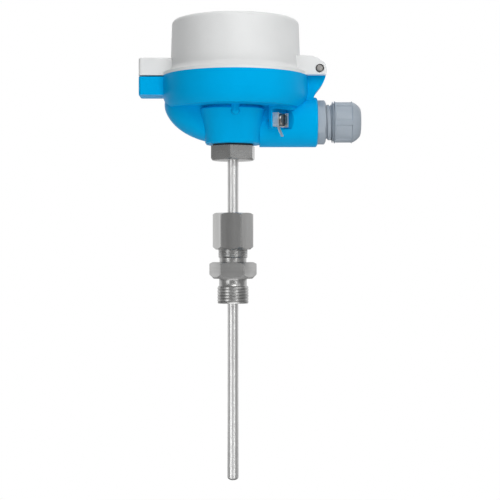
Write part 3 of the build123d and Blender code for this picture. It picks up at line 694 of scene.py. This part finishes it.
# Gland body. Moulded grey polyamide with a hexagon collar, screwed into the boss of the head.
# A coarse thread outside carries the cap, and a rubber sleeve lies inside to grip the cable.
gland_low, gland_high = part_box("gland_body")
gland_start = gland_low[0]
gland_end = gland_high[0]
gland_centre_z = (gland_low[2] + gland_high[2]) / 2
gland_place = Matrix.Translation((0, 0, gland_centre_z)) @ Matrix.Rotation(math.radians(90), 4, "Y")
boss_end = 0.0449
collar_end = boss_end + 0.0044
gland_bore = 0.0066
gland_crest = 0.0095
gland_root = 0.0086
gland_pitch = 0.0030
spigot_radius = 0.0098
sleeve_radius = 0.0083
sleeve_start = 0.053
gland_core = spun(
    [
        (gland_bore, gland_start),
        (spigot_radius - 0.0008, gland_start),
        (spigot_radius, gland_start + 0.0008),
        (spigot_radius, boss_end + 0.0005),
        (gland_root, collar_end - 0.0005),
        (gland_root, gland_end - 0.0005),
        (gland_root - 0.0001, gland_end),
        (sleeve_radius, gland_end),
        (sleeve_radius, sleeve_start),
        (gland_bore, sleeve_start),
    ]
)
gland_ridge = thread(
    root=gland_root - ridge_sink,
    crest=gland_crest,
    pitch=gland_pitch,
    low=collar_end + 0.0005,
    high=gland_end,
    bevel=0.0002,
    crest_share=0.55,
    lift=0.0002,
)
collar_across = 0.0216
collar_turn = 25.5
collar_corner = 0.01175
collar_face = 0.0105
collar_bore = 0.0076
collar_cone = ((collar_end, 1, collar_face, 30),)
collar = hexagon(collar_across, boss_end, collar_end, collar_turn, collar_cone, collar_corner)
open_bore(
    collar,
    boss_end,
    collar_end,
    low_steps=[(collar_across / 2 - collar_bore, 0.0)],
    high_steps=[(collar_face - collar_bore, 0.0)],
)
gland_plastic = textured(
    "gland_plastic",
    dark=(0.325, 0.375, 0.43),
    light=(0.35, 0.40, 0.455),
    roughness=(0.42, 0.55),
    patch=150.0,
    grain=3500.0,
)
finished(
    "gland_body_thread",
    [gland_core, gland_ridge, collar],
    gland_plastic,
    body="probe",
    nodes=["gland_body"],
    place=gland_place,
)
dress("gland_seal", seal_rubber)

# Gland cap. A moulded grey polyamide nut with a domed end and six ribs for the fingers.
# It runs on the thread of the gland body and presses the rubber sleeve onto the cable.
cap_low, cap_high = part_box("gland_cap")
cap_start = cap_low[0]
cap_end = cap_high[0]
cap_radius = 0.0112
cap_hole = 0.0052
cap_bore = gland_crest + 0.00015
band_deep = 0.0012
valley_low = cap_start + 0.0015
valley_high = valley_low + 0.0089
cap_outline = [
    (gland_crest + 0.0004, cap_start),
    (cap_radius - 0.0004, cap_start),
    (cap_radius - 0.0002, cap_start + 0.0002),
    (cap_radius - band_deep, cap_start + 0.0003),
    (cap_radius - band_deep, cap_start + 0.0009),
    (cap_radius - 0.0001, cap_start + 0.0011),
    (cap_radius, valley_low),
    (cap_radius, valley_low + 0.0002),
    (cap_radius, valley_high - 0.0002),
    (cap_radius, valley_high),
    (cap_radius - 0.00045, cap_end - 0.0052),
    (cap_radius - 0.00060, cap_end - 0.0041),
    (cap_radius - 0.00100, cap_end - 0.0033),
    (cap_radius - 0.00150, cap_end - 0.0025),
    (cap_radius - 0.00220, cap_end - 0.0016),
    (cap_radius - 0.00310, cap_end - 0.0008),
    (cap_radius - 0.00400, cap_end - 0.0002),
    (cap_radius - 0.00480, cap_end),
    (cap_hole, cap_end - 0.0001),
    (cap_hole, cap_end - 0.0015),
    (gland_bore, gland_end + 0.0034),
    (cap_bore, gland_end + 0.0004),
    (cap_bore, cap_start + 0.0009),
]
gland_cap = spun(cap_outline, steps=180)
rib_spacing = 60
rib_turn = -6.0
valley_half = 23.0
valley_deep = 0.00045
clear_of_edge = 0.0001
for corner in gland_cap.verts:
    angle = (math.degrees(math.atan2(corner.co.y, corner.co.x)) + rib_turn) % rib_spacing
    radius = math.hypot(corner.co.x, corner.co.y)
    in_valley = min(angle, rib_spacing - angle) < valley_half
    in_grip = valley_low + clear_of_edge < corner.co.z < valley_high - clear_of_edge
    if in_valley and in_grip and radius > cap_radius - clear_of_edge:
        corner.co.xy = corner.co.xy * ((cap_radius - valley_deep) / radius)
finished(
    "gland_cap_ribbed",
    [gland_cap],
    gland_plastic,
    body="gland_cap",
    nodes=["gland_cap"],
    place=gland_place,
)

# Measuring insert. A steel plate on two spring-loaded screws carries the ceramic terminal block with its
# brass clamps and sleeved leads. Below it the mineral insulated sheath reaches down the stem, closed
# with dark resin at the top.
plate_steel = textured(
    "plate_steel",
    dark=(0.42, 0.42, 0.41),
    light=(0.55, 0.55, 0.54),
    roughness=(0.28, 0.42),
    metallic=1.0,
    patch=150.0,
    grain=3000.0,
)
bright_steel = textured(
    "bright_steel",
    dark=(0.50, 0.495, 0.485),
    light=(0.70, 0.695, 0.68),
    roughness=(0.16, 0.30),
    metallic=1.0,
    patch=700.0,
    grain=6000.0,
    bump=0.00001,
)
ceramic = textured(
    "white_ceramic",
    dark=(0.72, 0.69, 0.62),
    light=(0.80, 0.78, 0.73),
    roughness=(0.55, 0.75),
    patch=350.0,
    bump=0.00004,
)
brass = textured(
    "brass_part",
    dark=(0.55, 0.40, 0.15),
    light=(0.70, 0.53, 0.23),
    roughness=(0.22, 0.38),
    metallic=1.0,
    patch=300.0,
    grain=5000.0,
)
red_sleeve = textured(
    "red_sleeve",
    dark=(0.42, 0.012, 0.010),
    light=(0.50, 0.020, 0.015),
    roughness=(0.35, 0.5),
    patch=600.0,
)
white_sleeve = textured(
    "white_sleeve",
    dark=(0.70, 0.70, 0.67),
    light=(0.78, 0.78, 0.76),
    roughness=(0.35, 0.5),
    patch=600.0,
)
resin = textured(
    "resin",
    dark=(0.015, 0.011, 0.008),
    light=(0.03, 0.024, 0.018),
    roughness=(0.2, 0.35),
    patch=500.0,
)
wire_metal = textured(
    "wire_metal",
    dark=(0.52, 0.51, 0.48),
    light=(0.68, 0.67, 0.64),
    roughness=(0.2, 0.35),
    metallic=1.0,
    patch=900.0,
)
insert_surfaces = {
    "insert_plate": plate_steel,
    "insert_bush": plate_steel,
    "insert_sheath": stem_steel,
    "mounting_screws": bright_steel,
    "terminal_block": ceramic,
    "terminal_clamps": brass,
    "terminal_screws": bright_steel,
    "leads_red": red_sleeve,
    "leads_white": white_sleeve,
    "conductors": wire_metal,
    "sheath_seal": resin,
    "mgo_fill": ceramic,
    "sensing_element": ceramic,
    "inner_earth_screw": bright_steel,
    "inner_earth_washer": brass,
}
for node_name, surface in insert_surfaces.items():
    dress(node_name, surface)

# Springs of the insert. Two coils of steel wire, closed at their ends, between the plate and the heads
# of the mounting screws, made into one piece with its own mesh that moves with the insert.
spring_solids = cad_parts["insert_springs"]
spring_build = bmesh.new()
spring_build.from_mesh(spring_solids.data)
bmesh.ops.transform(spring_build, matrix=spring_solids.matrix_world, verts=spring_build.verts)
springs = finished(
    "insert_springs_wound",
    [spring_build],
    bright_steel,
    body="insert",
    nodes=["insert_springs"],
    soft_angle=40,
)
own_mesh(springs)

# Cover. A die-cast aluminium cap with a flared foot, hinged on one side and screwed down on the other,
# powder coated in pale grey, with a rubber cord in the groove of its foot.
grey_paint = textured(
    "grey_paint",
    dark=(0.735, 0.745, 0.745),
    light=(0.775, 0.785, 0.785),
    roughness=(0.34, 0.44),
    patch=45.0,
    grain=1400.0,
    bump=0.00004,
)
dress("head_cover", grey_paint)
dress("cover_gasket", seal_rubber)

# Hinge pin, its two snap rings and the captive closing screw.
# The pin is plain turned steel, the rings are blackened spring steel and the screw is bright.
pin_steel = textured(
    "pin_steel",
    dark=(0.16, 0.155, 0.15),
    light=(0.30, 0.295, 0.285),
    roughness=(0.35, 0.5),
    metallic=1.0,
    patch=900.0,
)
dress("hinge_pin", pin_steel)
dress("hinge_clips", black_steel_and_painted_shade)
dress("cover_screw", bright_steel)
